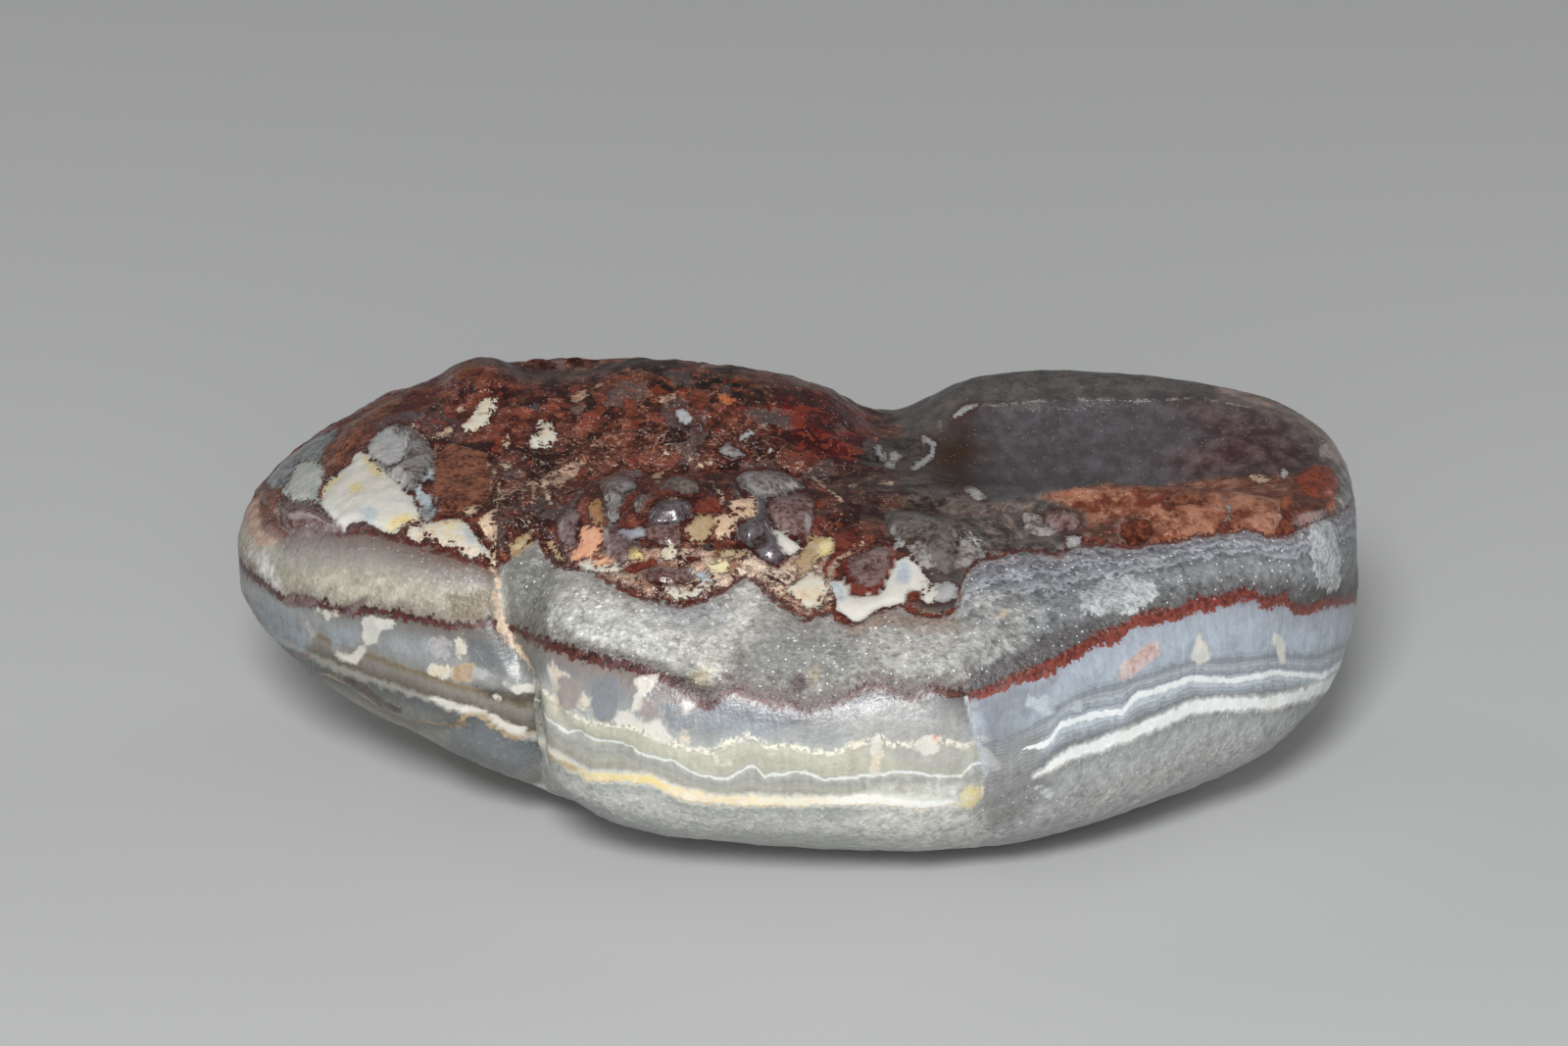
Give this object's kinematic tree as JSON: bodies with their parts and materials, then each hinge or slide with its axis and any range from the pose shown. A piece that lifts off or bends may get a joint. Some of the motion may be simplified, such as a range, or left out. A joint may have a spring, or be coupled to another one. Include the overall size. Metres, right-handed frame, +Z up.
{
  "type": "chalcedony pebble",
  "caption": "Worn oblong pebble of banded chalcedony with a jasper top, a dish, a notch and a side crease, lying on its underside.",
  "frame": {"origin": "on the resting plane, under the middle of the outline", "axes": "+X along the pebble's length towards the end with the dish, +Y from the banded front to the back, +Z up"},
  "size_m": [0.0474, 0.0284, 0.0158],
  "materials": {
    "stone": "satin worn stone: brown-red jasper on top, white, yellow, blue-grey and dark red bands and sugary quartz on the sides"
  },
  "bodies": {
    "root": {"stone": "stone"}
  },
  "joints": []
}
